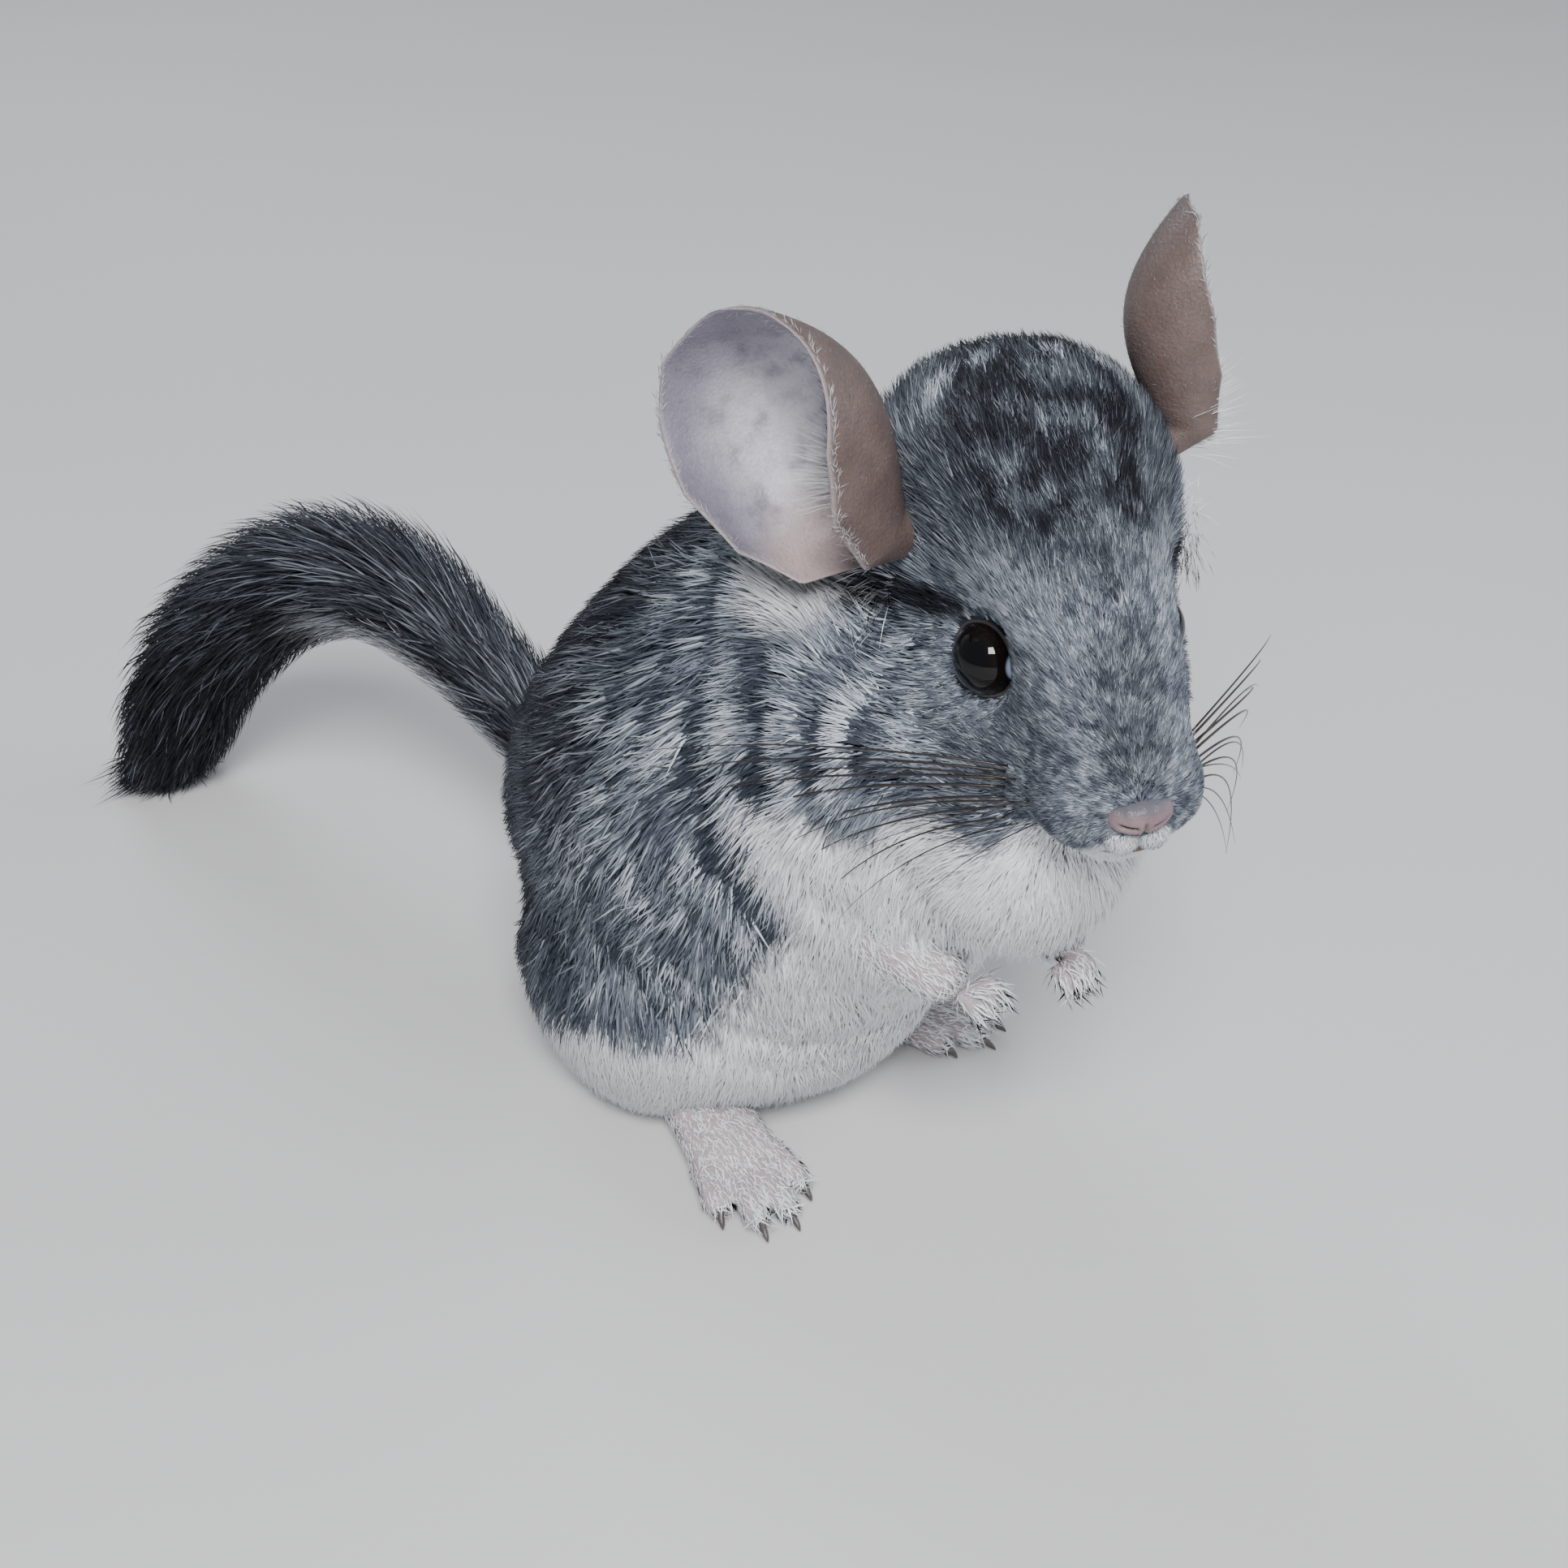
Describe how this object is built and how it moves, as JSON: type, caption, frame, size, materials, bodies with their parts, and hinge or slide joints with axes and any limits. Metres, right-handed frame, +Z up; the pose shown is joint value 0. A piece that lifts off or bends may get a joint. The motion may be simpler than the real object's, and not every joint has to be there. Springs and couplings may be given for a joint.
{
  "type": "chinchilla model",
  "caption": "Life-size still model of a grey chinchilla sitting hunched on its hind feet, its head turned, its large round ears raised and its bushy tail arched behind it.",
  "frame": {"origin": "middle of the model's box, on the floor that the animal sits on", "axes": "+Z up from the floor; the body faces -Y with its tail towards +Y; +X is the animal's left side"},
  "size_m": [0.0892, 0.2734, 0.1698],
  "materials": {
    "coat": "dense matt fur",
    "ear": "thin skin with fine down",
    "eye": "wet gloss",
    "foot": "short pale fur on bare pads",
    "paw": "short white fur",
    "tail": "long coarse hair"
  },
  "bodies": {
    "root": {"head": "coat", "neck": "coat", "torso": "coat", "hind_leg_left": "coat", "hind_leg_right": "coat", "hind_foot_left": "foot", "hind_foot_right": "foot", "foreleg_left": "paw", "foreleg_right": "paw", "ear_left": "ear", "ear_right": "ear", "eye_left": "eye", "eye_right": "eye", "tail_base": "tail", "tail_middle": "tail", "tail_tip": "tail"}
  },
  "joints": []
}
